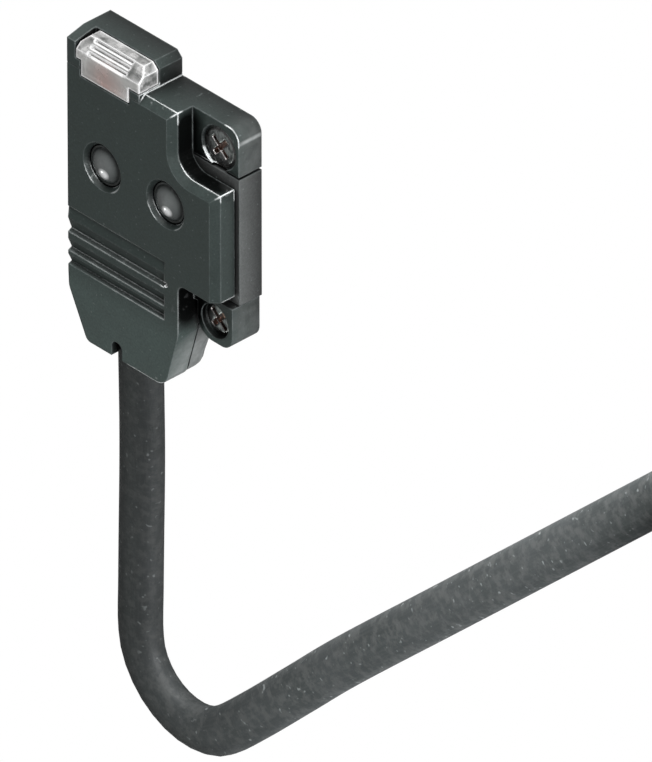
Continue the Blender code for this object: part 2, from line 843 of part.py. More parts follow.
def tube(name, points, radius, flat):
    """A tube along points, flattened in height where flat is under 1."""
    curve = bpy.data.curves.new(name, "CURVE")
    curve.dimensions = "3D"
    curve.bevel_depth = radius
    curve.bevel_resolution = 2
    curve.use_fill_caps = True
    spline = curve.splines.new("POLY")
    spline.points.add(len(points) - 1)
    for point, (x, y, z) in zip(spline.points, points):
        point.co = (x, y, z / flat, 1.0)
    made = bpy.data.objects.new(name, curve)
    made.scale.z = flat
    return made


def smooth(route, spacing):
    """Points a fixed distance apart along a smooth curve through the route's own points."""
    ends = [2 * Vector(route[0]) - Vector(route[1]), 2 * Vector(route[-1]) - Vector(route[-2])]
    knots = [ends[0], *[Vector(p) for p in route], ends[1]]
    fine = []
    for a, b, c, d in zip(knots, knots[1:], knots[2:], knots[3:]):
        for k in range(24):
            t = k / 24
            fine.append(
                0.5 * (2 * b + (c - a) * t + (2 * a - 5 * b + 4 * c - d) * t**2 + (3 * b - a - 3 * c + d) * t**3)
            )
    fine.append(Vector(route[-1]))
    total = sum((b - a).length for a, b in zip(fine, fine[1:]))
    count = max(2, round(total / spacing))
    made = [fine[0]]
    walked, target = 0.0, total / count
    for a, b in zip(fine, fine[1:]):
        step = (b - a).length
        while len(made) < count and walked + step >= target * len(made):
            made.append(a.lerp(b, (target * len(made) - walked) / step))
        walked += step
    made.append(fine[-1])
    return made


# Lead

CORD_LIE = CORD_THICKNESS / 2

# The route from inside the boot to the first turn of the coil, chosen by hand.
LEAD_ROUTE = [
    (CORD_EXIT_X, BOOT_END + CORD_INSIDE, CORD_AXIS_HEIGHT),
    (CORD_EXIT_X, BOOT_END + 0.0020, CORD_AXIS_HEIGHT),
    (CORD_EXIT_X, BOOT_END - 0.0003, CORD_AXIS_HEIGHT),
    (-0.00220, BOOT_END - 0.0031, 0.00162),
    (-0.00262, BOOT_END - 0.0063, 0.00120),
    (-0.00282, BOOT_END - 0.0095, CORD_LIE),
    (-0.00290, -0.0240, CORD_LIE),
    (-0.00297, -0.0280, CORD_LIE),
    (-0.00300, -0.03131, CORD_LIE),
    (-0.00257, -0.03325, CORD_LIE),
    (-0.00136, -0.03483, CORD_LIE),
    (0.00041, -0.03575, CORD_LIE),
    (0.00240, -0.03584, CORD_LIE),
    (0.00424, -0.03508, CORD_LIE),
    (0.00700, -0.03260, CORD_LIE),
    (0.01100, -0.02865, CORD_LIE),
    (0.01516, -0.02454, CORD_LIE),
    (0.02375, -0.01653, CORD_LIE),
    (0.03234, -0.00852, CORD_LIE),
    (0.04093, -0.00051, CORD_LIE),
    (0.05027, 0.00820, CORD_LIE),
]

# The route of the lead's end from the coil's upper layer down to the floor, from the coil's middle.
TAIL_ROUTE = [
    (-0.0090, -0.02456, 0.0066),
    (-0.0138, -0.02636, 0.0030),
    (-0.0176, -0.02736, 0.00125),
    (-0.0215, -0.02776, CORD_LIE),
]


def coil_half_width():
    return COIL_COLUMNS * (CORD_WIDTH + TURN_GAP) / 2


def coil_height():
    return COIL_LAYERS * (CORD_THICKNESS + TURN_GAP)


def coil_section(inset):
    """Corners of the coil's section as (radius, height), drawn in by inset; the upper layers start later."""
    half = coil_half_width()
    high = coil_height()
    inner, outer = COIL_MEAN_RADIUS - half, COIL_MEAN_RADIUS + half
    return [
        (outer - inset, high - inset),
        (outer - inset, inset),
        (inner + inset, inset),
        (inner + inset, high / 2 - inset / 3),
        (inner + CORD_WIDTH + inset / 2, high - inset),
    ]


def cable_coil(finish_material):
    """The outer shape of the coil, one turned ring with a shallow waist for its tie."""
    half = coil_half_width()
    high = coil_height()
    ease = CORD_THICKNESS / 2
    inner, outer = COIL_MEAN_RADIUS - half, COIL_MEAN_RADIUS + half
    profile = [
        (outer - ease, high),
        (outer, high - ease),
        (outer, ease),
        (outer - ease, 0.0),
        (inner + ease, 0.0),
        (inner, ease),
        (inner, high / 2),
        (inner + CORD_WIDTH, high),
    ]
    made = turned("cable_coil", profile, COIL_X, COIL_Y, steps=48, closed=True)
    cut(made, tie_frame("coil_waist", -OVERRUN, TIE_THICKNESS + FIT, TIE_WIDTH / 2 + FIT))
    return finish(made, finish_material)


def tie_frame(name, outside, inside, half_width):
    """A closed band round the coil's section, between two depths from its surface."""
    outer = side_plate(name, coil_section(outside), -half_width, half_width)
    inner = side_plate(name + "_inside", coil_section(inside), -half_width - OVERRUN, half_width + OVERRUN)
    for part in (outer, inner):
        turn = Matrix.Translation((COIL_X, COIL_Y, 0.0)) @ Matrix.Rotation(TIE_ANGLE - pi / 2, 4, "Z")
        part.matrix_world = turn @ part.matrix_world
    cut(outer, inner)
    return outer


def coil_tie(finish_material):
    return finish(tie_frame("coil_tie", 0.0, TIE_THICKNESS, TIE_WIDTH / 2), finish_material)


def tail_route():
    return [(COIL_X + x, COIL_Y + y, z) for x, y, z in TAIL_ROUTE]


def core_tails(colours, conductor_finish):
    """The three cores past the sheath's end, each with its bare conductor."""
    end = Vector(tail_route()[-1])
    low = CORE_RADIUS - end.z
    for i, (name, finish_material) in enumerate(colours):
        side = i - 1
        start = end + Vector((-3 * FIT, side * CORE_PITCH, 0.0))
        points = [
            start,
            start + Vector((-0.25 * CORE_TAIL_LENGTH, side * 0.15 * CORE_TAIL_SPREAD, 0.6 * low)),
            start + Vector((-0.6 * CORE_TAIL_LENGTH, side * 0.7 * CORE_TAIL_SPREAD, low)),
            start + Vector((-CORE_TAIL_LENGTH, side * CORE_TAIL_SPREAD, low)),
        ]
        core(f"{name}_core_tail", smooth(points, 4 * CORE_RADIUS), CORE_RADIUS, finish_material)
        tip = points[-1]
        way = (points[-1] - points[-2]).normalized()
        bare = [tip + way * (2 * FIT), tip + way * CONDUCTOR_LENGTH]
        core(f"{name}_conductor_tip", bare, CONDUCTOR_RADIUS, conductor_finish)


def inner_cores(colours):
    """The cores from the sheath's end inside the housing to the board's lower edge."""
    start_y = BOOT_END + CORD_INSIDE + 3 * FIT
    pad_y = BOARD_LOW + 0.0010
    rise = BOARD_TOP + CHIP_GAP + CORE_RADIUS
    for i, (name, finish_material) in enumerate(colours):
        x = CORD_EXIT_X + (i - 1) * CORE_PITCH
        points = [
            (x, start_y, CORD_AXIS_HEIGHT),
            (x, (start_y + BOARD_LOW) / 2, CORD_AXIS_HEIGHT + 0.3 * (rise - CORD_AXIS_HEIGHT)),
            (x, BOARD_LOW, rise),
            (x, pad_y, rise),
        ]
        core(f"{name}_core_inner", points, CORE_RADIUS, finish_material)


def electronics(green, resin, cream, amber):
    """The board and its parts, each placed from the board's edges or the lenses."""
    finish(plate("circuit_board", board_outline(), BOARD_BOTTOM, BOARD_TOP), green)
    (emitter_x, lens_y), (receiver_x, _) = lens_places()
    chip("emitter_led", emitter_x, lens_y, 0.0010, 0.0008, 0.0005, amber)
    chip("receiver_chip", receiver_x, lens_y, 0.0016, 0.0016, 0.0005, resin)
    chip("light_shield", (emitter_x + receiver_x) / 2, lens_y, 0.0004, 0.0036, 0.0011, resin)
    led_x = (WINDOW_LIP_LEFT + WINDOW_LIP_RIGHT) / 2
    chip("indicator_led", led_x, BOARD_HIGH - 0.0008, 0.0010, 0.0008, 0.0005, amber)
    low_row = BOARD_LOW + 0.0035
    chip("output_transistor", BOARD_RIGHT - 0.0023, low_row, 0.0013, 0.0020, 0.0006, resin)
    chip("supply_capacitor", BOARD_LEFT + 0.0019, low_row, 0.0020, 0.0012, 0.0005, cream)
    chip("emitter_resistor", BOARD_LEFT + 0.0011, BOARD_HIGH - 0.0030, 0.0010, 0.0005, 0.0003, resin)
    chip("indicator_resistor", BOARD_RIGHT - 0.0013, BOARD_HIGH - 0.0026, 0.0010, 0.0005, 0.0003, resin)
    chip("control_chip", BOARD_SIDE_RIGHT - 0.0018, BOARD_SIDE_LOW + 0.0015, 0.0024, 0.0020, 0.0006, resin)
    chip("filter_capacitor", BOARD_SIDE_RIGHT - 0.0009, BOARD_SIDE_HIGH - 0.0006, 0.0010, 0.0005, 0.0003, cream)


def build():
    black = material("case_black", (0.035, 0.040, 0.039), 0.55)
    cover_black = material("cover_black", (0.045, 0.050, 0.049), 0.55)
    clear = material("window_clear", (0.86, 0.84, 0.84), 0.15)
    smoke = material("lens_clear", (0.30, 0.31, 0.32), 0.08)
    steel = material("screw_steel", (0.20, 0.18, 0.17), 0.35, 1.0)
    green = material("board_green", (0.05, 0.22, 0.10), 0.45)
    resin = material("chip_black", (0.03, 0.03, 0.03), 0.4)
    cream = material("ceramic_tan", (0.55, 0.42, 0.28), 0.5)
    amber = material("led_clear", (0.85, 0.35, 0.12), 0.2)
    sheath = material("sheath_grey", (0.055, 0.065, 0.062), 0.6)
    copper = material("tinned_copper", (0.75, 0.62, 0.50), 0.3, 1.0)
    tie_black = material("tie_black", (0.02, 0.02, 0.02), 0.5)
    colours = [
        ("brown", material("core_brown", (0.20, 0.08, 0.03), 0.5)),
        ("black", material("core_black", (0.02, 0.02, 0.02), 0.5)),
        ("blue", material("core_blue", (0.03, 0.12, 0.50), 0.5)),
    ]

    front_case(black)
    rear_cover(cover_black)
    indicator_window(clear)
    for name, (x, y) in zip(("emitter_lens", "receiver_lens"), lens_places()):
        lens(name, x, y, smoke)
    screw("upper_screw", UPPER_HOLE_Y, UPPER_EAR_THICKNESS - UPPER_HEAD_SUNK, UPPER_HEAD_RADIUS, steel)
    screw("lower_screw", LOWER_HOLE_Y, LOWER_EAR_THICKNESS - LOWER_HEAD_SUNK, LOWER_HEAD_RADIUS, steel)
    electronics(green, resin, cream, amber)
    inner_cores(colours)

    lead_spacing = 1.1 * CORD_WIDTH
    flat = CORD_THICKNESS / CORD_WIDTH
    finish(tube("cable_lead", smooth(LEAD_ROUTE, lead_spacing), CORD_WIDTH / 2, flat), sheath)
    cable_coil(sheath)
    coil_tie(tie_black)
    finish(tube("cable_tail", smooth(tail_route(), lead_spacing), CORD_WIDTH / 2, flat), sheath)
    core_tails(colours, copper)


build()
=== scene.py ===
from math import atan2, copysign, cos, pi, radians, sin

import bmesh
import bpy
from mathutils import Matrix, Vector


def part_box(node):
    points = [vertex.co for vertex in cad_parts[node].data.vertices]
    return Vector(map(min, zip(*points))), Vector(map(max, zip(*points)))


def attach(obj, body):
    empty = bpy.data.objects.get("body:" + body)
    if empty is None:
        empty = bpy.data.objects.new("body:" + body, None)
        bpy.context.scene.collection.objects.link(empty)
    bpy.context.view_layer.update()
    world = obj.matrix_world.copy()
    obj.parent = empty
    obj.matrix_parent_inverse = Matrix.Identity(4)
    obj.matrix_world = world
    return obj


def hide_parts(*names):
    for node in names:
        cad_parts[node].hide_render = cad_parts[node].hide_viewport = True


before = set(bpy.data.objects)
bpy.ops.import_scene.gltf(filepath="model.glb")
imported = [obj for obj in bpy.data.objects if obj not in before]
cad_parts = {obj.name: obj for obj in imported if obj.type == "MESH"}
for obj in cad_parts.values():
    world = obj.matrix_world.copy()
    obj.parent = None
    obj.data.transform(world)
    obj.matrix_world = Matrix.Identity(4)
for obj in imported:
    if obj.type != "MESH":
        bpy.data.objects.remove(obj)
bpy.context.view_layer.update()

# Sizes are in millimetres until MM turns them into the frame's metres.

MM = 0.001
# The housing's own top edge and the end of its boot lie along Y, and its sensing face in Z.
TOP = 8.89
BOOT_END = -10.51
FACE = 3.5
WHITE = (1.0, 1.0, 1.0, 1.0)


# Camera: a long lens, turned as for the photograph, with ANCHOR seen at ANCHOR_PX

PX_PER_MM = 16.978
TURN = radians(46.71)
TILT = radians(33.77)
VIEW_RIGHT = Vector((cos(TURN), 0.0, -sin(TURN)))
VIEW_UP = Vector((-sin(TILT) * sin(TURN), cos(TILT), -sin(TILT) * cos(TURN)))
VIEW_BACK = VIEW_RIGHT.cross(VIEW_UP).normalized()
ANCHOR = Vector((0.0, TOP - 9.0, 1.75))
ANCHOR_PX = (164.64, 215.87)
PHOTO = (652, 762)
CAMERA_DISTANCE = 1650.0
SENSOR_WIDTH = 36.0


def add_camera():
    data = bpy.data.cameras.new("camera")
    camera = bpy.data.objects.new("camera", data)
    bpy.context.scene.collection.objects.link(camera)
    right = (PHOTO[0] / 2 - ANCHOR_PX[0]) / PX_PER_MM
    down = (PHOTO[1] / 2 - ANCHOR_PX[1]) / PX_PER_MM
    target = ANCHOR + VIEW_RIGHT * right - VIEW_UP * down
    place = target + VIEW_BACK * CAMERA_DISTANCE
    turn = Matrix((VIEW_RIGHT, VIEW_UP, VIEW_BACK)).transposed().to_4x4()
    camera.matrix_world = Matrix.Translation(place * MM) @ turn
    data.sensor_width = SENSOR_WIDTH
    data.lens = SENSOR_WIDTH * CAMERA_DISTANCE / (PHOTO[1] / PX_PER_MM)
    data.clip_start = 0.01
    data.clip_end = 10.0
    data.dof.use_dof = False
    bpy.context.scene.camera = camera


# Helpers for meshes

def middle(node):
    """The middle of a CAD node's box, in millimetres."""
    low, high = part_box(node)
    return (Vector(low) + Vector(high)) / 2 / MM


def link(name, bm, material):
    """Write a bmesh in millimetres to a new piece, which rides on the root."""
    bmesh.ops.scale(bm, vec=(MM, MM, MM), verts=bm.verts)
    mesh = bpy.data.meshes.new(name)
    bm.to_mesh(mesh)
    bm.free()
    mesh.shade_smooth()
    mesh.set_sharp_from_angle(angle=radians(40))
    obj = bpy.data.objects.new(name, mesh)
    bpy.context.scene.collection.objects.link(obj)
    obj.data.materials.append(material)
    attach(obj, "root")
    return obj


def sweep(bm, path, section, frames, uv_name):
    """Skin a closed section along a path; frames gives (across, up) at each point.

    Its UV map counts once round the section and in millimetres along the path.
    """
    rings = []
    for point, (across, up) in zip(path, frames):
        rings.append([bm.verts.new(point + across * u + up * v) for u, v in section])
    layer = bm.loops.layers.uv.new(uv_name)
    count = len(section)
    walked = 0.0
    for i in range(len(rings) - 1):
        step = (path[i + 1] - path[i]).length
        for k in range(count):
            n = (k + 1) % count
            face = bm.faces.new((rings[i][k], rings[i][n], rings[i + 1][n], rings[i + 1][k]))
            across_uv = (k / count, (k + 1) / count, (k + 1) / count, k / count)
            along_uv = (walked, walked, walked + step, walked + step)
            for loop, u, v in zip(face.loops, across_uv, along_uv):
                loop[layer].uv = (u, v)
        walked += step
    bm.faces.new(list(reversed(rings[0])))
    bm.faces.new(rings[-1])
    bmesh.ops.recalc_face_normals(bm, faces=bm.faces)


def through(points, spacing, before=None, steps=24):
    """Evenly spaced points on a smooth curve through given ones."""
    knots = [Vector(p) for p in points]
    knots = [before or 2 * knots[0] - knots[1], *knots, 2 * knots[-1] - knots[-2]]
    fine = []
    for a, b, c, d in zip(knots, knots[1:], knots[2:], knots[3:]):
        slope = c - a
        bend = 2 * a - 5 * b + 4 * c - d
        twist = 3 * b - a - 3 * c + d
        for k in range(steps):
            t = k / steps
            fine.append(0.5 * (2 * b + slope * t + bend * t**2 + twist * t**3))
    fine.append(knots[-2])
    return even(fine, spacing)


def even(fine, spacing):
    """Points at equal steps along a finely drawn path, as near to the spacing as its length allows."""
    total = sum((b - a).length for a, b in zip(fine, fine[1:]))
    count = max(2, round(total / spacing))
    made = [fine[0]]
    walked, step_length = 0.0, total / count
    for a, b in zip(fine, fine[1:]):
        step = (b - a).length
        while len(made) < count and walked + step >= step_length * len(made):
            made.append(a.lerp(b, (step_length * len(made) - walked) / step))
        walked += step
    made.append(fine[-1])
    return made


def smooth_step(t):
    t = min(1.0, max(0.0, t))
    return t * t * (3 - 2 * t)


# Lead

CORD_W = 3.1
CORD_T = 2.06
LIE = CORD_T / 2
EXIT_X = -1.93
EXIT_Z = 1.90
INSIDE_BOOT = 4.0
# The lead's middle line, from inside the boot, round its bend and straight on to the coil.
LEAD = [
    (EXIT_X, BOOT_END + INSIDE_BOOT, EXIT_Z),
    (EXIT_X, BOOT_END + 2.0, EXIT_Z),
    (EXIT_X, BOOT_END - 0.3, EXIT_Z),
    (-2.20, BOOT_END - 3.1, 1.62),
    (-2.62, BOOT_END - 6.3, 1.20),
    (-2.82, BOOT_END - 9.5, LIE),
    (-2.90, -24.00, LIE),
    (-2.97, -28.00, LIE),
    (-3.00, -31.31, LIE),
    (-2.57, -33.25, LIE),
    (-1.36, -34.83, LIE),
    (0.41, -35.75, LIE),
    (2.40, -35.84, LIE),
    (4.24, -35.08, LIE),
    (7.00, -32.60, LIE),
    (11.00, -28.65, LIE),
    (15.16, -24.54, LIE),
    (23.75, -16.53, LIE),
    (32.34, -8.52, LIE),
    (40.93, -0.51, LIE),
    (50.27, 8.20, LIE),
]
LEAD_STEP = 0.9
COIL = Vector((75.0, 0.36, 0.0))
COIL_START = radians(133.0)
COIL_MEAN_RADIUS = 16.2
COIL_STEP = 1.5
TURN_GAP = 0.1
PITCH = CORD_W + TURN_GAP
LAYER = CORD_T + TURN_GAP
# The radius of each column of turns, the columns that each layer fills in turn, and where the turns end.
COLUMNS = [9.8 + PITCH * k for k in range(5)]
LAYER_COLUMNS = [(4, 3, 2, 1, 0), (0, 1, 2, 3, 4), (4, 3, 2, 1), (1, 2, 3, 4)]
TURNS = 17.619
# The loose end, from the coil down to the floor.
TAIL = [
    (69.60, -22.90, LIE + 3 * LAYER),
    (65.20, -24.40, 6.20),
    (61.20, -26.00, 3.00),
    (57.40, -27.00, 1.25),
    (53.30, -27.42, LIE),
]
TAIL_STEP = 1.0
TIE_ANGLE = radians(62)
TIE_WIDTH = 3.0
TIE_THICK = 0.45
TIE_CORNER = 0.9
TIE_GAP = 0.04
TIE_SLACK = 0.05
TIE_LIFT = 0.55
LIFT_REACH = radians(32)
LIFT_EASE = radians(18)
HEAD_SIZE = (2.4, 4.4, 3.8)
HEAD_ROUNDING = 0.45
HEAD_OUT = 1.28
HEAD_HEIGHT = 4.6
TIE_END_SIZE = (TIE_THICK, 7.0, 2.2)
TIE_END_PLACE = (0.3, 5.4, 0.0)


def winding():
    """Where each stay in one column of one layer starts and ends, as (turn count, column, layer)."""
    made = []
    turn = 0.0
    for layer, columns in enumerate(LAYER_COLUMNS):
        for column in columns:
            climbed = layer > 0 and column == columns[0]
            climbs = column == columns[-1]
            made.append((turn - 0.25 if climbed else turn, column, layer))
            made.append((turn + 0.5 if climbs else turn + 0.75, column, layer))
            turn += 1.0
    return made[:-1] + [(TURNS, *made[-1][1:])]


def coil_points(step):
    """The turns, wound layer by layer, all lifted a little where the tie passes under them."""
    made = []
    stays = winding()
    count = int(TURNS * 2 * pi * COIL_MEAN_RADIUS / step)
    for i in range(count + 1):
        t = TURNS * i / count
        for (t0, c0, l0), (t1, c1, l1) in zip(stays, stays[1:]):
            if t <= t1 + 1e-9:
                f = smooth_step((t - t0) / (t1 - t0))
                radius = COLUMNS[c0] + (COLUMNS[c1] - COLUMNS[c0]) * f
                height = LIE + (l0 + (l1 - l0) * f) * LAYER
                break
        angle = COIL_START - 2 * pi * t
        off_tie = abs((angle - TIE_ANGLE + pi) % (2 * pi) - pi)
        height += TIE_LIFT * smooth_step((LIFT_REACH - off_tie) / LIFT_EASE)
        made.append(COIL + Vector((radius * cos(angle), radius * sin(angle), height)))
    return made


def lead_path():
    """The lead's middle line, from inside the boot, round the coil and out to the sheath's end."""
    ring = coil_points(COIL_STEP)
    arrive = through([*LEAD, ring[0]], LEAD_STEP)
    leave = through([ring[-1], *TAIL], TAIL_STEP, before=ring[-5])
    return arrive + ring[1:] + leave[1:]


def cord_frames(path):
    """Across lies level and square to the path, up is upright."""
    made = []
    for behind, ahead in zip([path[0], *path], [*path[1:], path[-1]]):
        way = (ahead - behind).normalized()
        across = way.cross(Vector((0, 0, 1))).normalized()
        made.append((across, across.cross(way).normalized()))
    return made


def oval(width, height, count, power=2.35):
    """A closed section between an ellipse and a rectangle."""
    made = []
    for k in range(count):
        angle = 2 * pi * k / count
        u = copysign(abs(cos(angle)) ** (2 / power), cos(angle))
        v = copysign(abs(sin(angle)) ** (2 / power), sin(angle))
        made.append((width / 2 * u, height / 2 * v))
    return made


def add_lead(material):
    path = lead_path()
    bm = bmesh.new()
    sweep(bm, path, oval(CORD_W, CORD_T, 20), cord_frames(path), "along")
    sheath = link("lead_sheath", bm, material)
    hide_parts("cable_lead", "cable_coil", "cable_tail")
    return sheath, path


def hull_loop(centres, reach, steps=6):
    """A convex loop at a distance from its centres, which are listed anticlockwise."""
    made = []
    for i, here in enumerate(centres):
        before = here - centres[i - 1]
        after = centres[(i + 1) % len(centres)] - here
        start = atan2(-before.x, before.y)
        turn = (atan2(-after.x, after.y) - start) % (2 * pi)
        for k in range(steps + 1):
            angle = start + turn * k / steps
            made.append(here + Vector((cos(angle), sin(angle))) * reach)
    return made


def add_tie(material):
    """A strap round the coil's section with its head and a short tail, in (radius, height) at the tie."""
    low = TIE_LIFT + TIE_CORNER
    high = TIE_LIFT + 4 * LAYER - TIE_CORNER
    inner = COLUMNS[0] - CORD_W / 2 + TIE_CORNER
    outer = COLUMNS[-1] + CORD_W / 2 - TIE_CORNER + TIE_SLACK
    centres = [
        Vector((inner, low)),
        Vector((outer, low)),
        Vector((outer, high)),
        Vector((inner + PITCH, high)),
        Vector((inner, TIE_LIFT + 2 * LAYER - TIE_CORNER - TIE_SLACK)),
    ]
    near_side = hull_loop(centres, TIE_CORNER + TIE_GAP)
    far_side = hull_loop(centres, TIE_CORNER + TIE_GAP + TIE_THICK)
    out = Vector((cos(TIE_ANGLE), sin(TIE_ANGLE), 0.0))
    along = Vector((-sin(TIE_ANGLE), cos(TIE_ANGLE), 0.0))
    half = TIE_WIDTH / 2

    def place(point, side):
        return COIL + out * point.x + Vector((0, 0, point.y)) + along * side

    bm = bmesh.new()
    loops = [
        [bm.verts.new(place(p, side)) for p in points]
        for points, side in ((near_side, -half), (far_side, -half), (far_side, half), (near_side, half))
    ]
    count = len(near_side)
    for first, second in zip(loops, loops[1:] + loops[:1]):
        for k in range(count):
            n = (k + 1) % count
            bm.faces.new((first[k], first[n], second[n], second[k]))
    bmesh.ops.recalc_face_normals(bm, faces=bm.faces)
    strap = link("tie_strap", bm, material)
    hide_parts("coil_tie")

    bm = bmesh.new()
    bmesh.ops.create_cube(bm, size=1.0)
    bmesh.ops.scale(bm, vec=HEAD_SIZE, verts=bm.verts)
    bmesh.ops.bevel(
        bm, geom=bm.edges[:], offset=HEAD_ROUNDING, segments=3, profile=0.5, affect="EDGES", material=-1
    )
    tail = bmesh.ops.create_cube(bm, size=1.0)["verts"]
    bmesh.ops.scale(bm, vec=TIE_END_SIZE, verts=tail)
    bmesh.ops.translate(bm, vec=TIE_END_PLACE, verts=tail)
    bmesh.ops.rotate(bm, cent=(0, 0, 0), matrix=Matrix.Rotation(TIE_ANGLE, 3, "Z"), verts=bm.verts)
    reach = outer + TIE_CORNER + TIE_THICK + HEAD_OUT
    bmesh.ops.translate(bm, vec=COIL + out * reach + Vector((0, 0, HEAD_HEIGHT)), verts=bm.verts)
    return [strap, link("tie_head", bm, material)]


# Helpers for materials

def plug(tree, socket, value):
    if isinstance(value, bpy.types.NodeSocket):
        tree.links.new(value, socket)
    else:
        socket.default_value = value


def add_node(tree, kind, inputs=None, **settings):
    made = tree.nodes.new(kind)
    for key, value in settings.items():
        setattr(made, key, value)
    for key, value in (inputs or {}).items():
        plug(tree, made.inputs[key], value)
    return made


def maths(tree, operation, *values):
    made = add_node(tree, "ShaderNodeMath", operation=operation)
    for socket, value in zip(made.inputs, values):
        plug(tree, socket, value)
    return made.outputs[0]


def times(tree, first, *others):
    """The product of two values or more."""
    product = first
    for value in others:
        product = maths(tree, "MULTIPLY", product, value)
    return product


def vectors(tree, operation, first, second=None, scale=None):
    """One step of vector maths, as a number where the operation gives one."""
    made = add_node(tree, "ShaderNodeVectorMath", operation=operation)
    plug(tree, made.inputs[0], first)
    if second is not None:
        plug(tree, made.inputs[1], second)
    if scale is not None:
        plug(tree, made.inputs["Scale"], scale)
    number = operation in ("DOT_PRODUCT", "LENGTH", "DISTANCE")
    return made.outputs["Value" if number else "Vector"]


def axis(tree, vector, letter):
    return add_node(tree, "ShaderNodeSeparateXYZ", {"Vector": vector}).outputs[letter]


def surface_normal(tree):
    return add_node(tree, "ShaderNodeNewGeometry").outputs["Normal"]


def stretched(tree, where, scale):
    """A place with its axes scaled: a small factor draws a pattern out along that axis."""
    return add_node(tree, "ShaderNodeMapping", {"Vector": where, "Scale": scale}).outputs["Vector"]


def noise(tree, where, scale, detail=2.0, roughness=0.5):
    sockets = {"Vector": where, "Scale": scale, "Detail": detail, "Roughness": roughness}
    return add_node(tree, "ShaderNodeTexNoise", sockets).outputs["Fac"]


def ramp(tree, value, low, high, to_low=0.0, to_high=1.0):
    """A value mapped from one range to another, held at both ends."""
    sockets = {"Value": value, "From Min": low, "From Max": high, "To Min": to_low, "To Max": to_high}
    return add_node(tree, "ShaderNodeMapRange", sockets).outputs["Result"]


def spread(tree, pattern, to_low=0.0, to_high=1.0):
    """A noise pattern, most of which lies between 0.3 and 0.7, over a range of its own."""
    return ramp(tree, pattern, 0.3, 0.7, to_low, to_high)


def blend_colour(tree, factor, first, second):
    """A mix of two colours; 6 and 7 are the node's colour sockets and 2 its colour result."""
    made = add_node(tree, "ShaderNodeMix", data_type="RGBA", blend_type="MIX")
    plug(tree, made.inputs[0], factor)
    plug(tree, made.inputs[6], first)
    plug(tree, made.inputs[7], second)
    return made.outputs[2]


def bump(tree, height, strength, distance, normal=None):
    sockets = {"Height": height, "Strength": strength, "Distance": distance}
    if normal:
        sockets["Normal"] = normal
    return add_node(tree, "ShaderNodeBump", sockets).outputs["Normal"]


def object_place(tree):
    return add_node(tree, "ShaderNodeTexCoord").outputs["Object"]


def new_group(name, ins, outs):
    tree = bpy.data.node_groups.new(name, "ShaderNodeTree")
    for label, kind, default in ins:
        socket = tree.interface.new_socket(name=label, in_out="INPUT", socket_type="NodeSocket" + kind)
        socket.default_value = default
    for label, kind in outs:
        tree.interface.new_socket(name=label, in_out="OUTPUT", socket_type="NodeSocket" + kind)
    return tree, tree.nodes.new("NodeGroupInput").outputs, tree.nodes.new("NodeGroupOutput").inputs


def edge_group():
    """How near a sharp edge a point lies, and a normal that rounds the edge over."""
    tree, given, result = new_group(
        "edge_light", [("Radius", "Float", 0.00015)], [("Edge", "Float"), ("Normal", "Vector")]
    )
    rounded = add_node(tree, "ShaderNodeBevel", {"Radius": given["Radius"]}, samples=8).outputs["Normal"]
    agreement = vectors(tree, "DOT_PRODUCT", rounded, surface_normal(tree))
    plug(tree, result["Edge"], ramp(tree, agreement, 0.998, 0.90))
    plug(tree, result["Normal"], rounded)
    return tree


